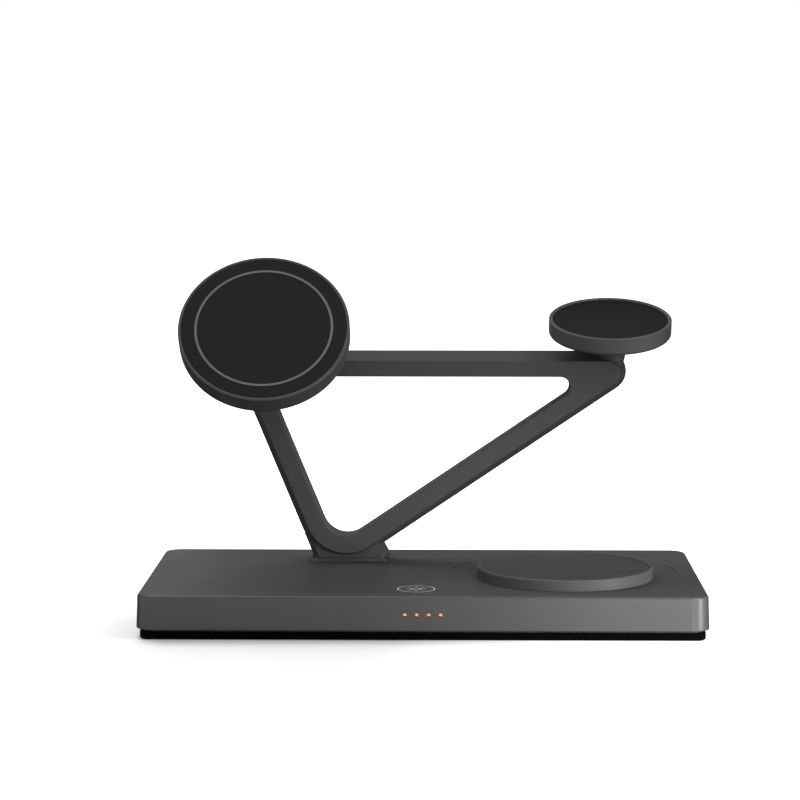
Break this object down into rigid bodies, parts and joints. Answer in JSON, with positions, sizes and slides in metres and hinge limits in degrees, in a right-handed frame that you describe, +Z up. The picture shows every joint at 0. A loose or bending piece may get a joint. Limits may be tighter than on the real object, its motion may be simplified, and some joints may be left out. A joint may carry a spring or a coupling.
{
  "type": "wireless charging stand",
  "caption": "Weighted desk charger: flat base with a round earbud pad, a triangular frame that carries a leaning watch dish and a round magnetic phone pad that tilts.",
  "frame": {"origin": "on the table, under the middle of the base", "axes": "+X to the right, +Y to the back, +Z up"},
  "size_m": [0.1818, 0.0952, 0.1175],
  "materials": {
    "gunmetal_paint": "satin metallic paint on a moulded shell",
    "gunmetal_aluminium": "bead-blasted and anodised dark grey",
    "black_plastic": "moulded, fine texture",
    "black_rubber": "smooth silicone",
    "steel": "plated",
    "copper": "wound copper wire",
    "ferrite": "sintered",
    "board": "circuit board with solder mask",
    "amber_lens": "clear amber light pipe"
  },
  "bodies": {
    "stand": {"base_shell": "gunmetal_paint", "bottom_cover": "black_plastic", "rubber_feet": "black_rubber", "cover_screws": "steel", "ballast_plate": "steel", "main_board": "board", "usb_c_socket": "steel", "indicator_lenses": "amber_lens", "indicator_board": "board", "touch_sensor": "board", "earbud_pad_cup": "gunmetal_aluminium", "earbud_pad_skin": "black_plastic", "earbud_ferrite": "ferrite", "earbud_coil": "copper", "frame": "gunmetal_aluminium", "foot_collar": "gunmetal_aluminium", "foot_backing_plate": "steel", "frame_screws": "steel", "watch_dish": "gunmetal_aluminium", "watch_charge_face": "black_plastic", "watch_ferrite": "ferrite", "watch_coil": "copper", "watch_magnet": "steel", "dish_screw": "steel"},
    "phone_pad": {"phone_pad_shell": "gunmetal_aluminium", "phone_pad_face": "black_rubber", "phone_coil": "copper", "phone_ferrite": "ferrite", "phone_board": "board", "phone_magnets": "steel", "hinge_pin": "steel", "friction_washers": "steel"}
  },
  "joints": [
    {"name": "phone_pad_tilt", "type": "hinge", "parent": "stand", "child": "phone_pad", "pos_m": [-0.053, 0.0138, 0.0866], "axis": [1, 0, 0], "range_deg": [-22, 28]}
  ]
}
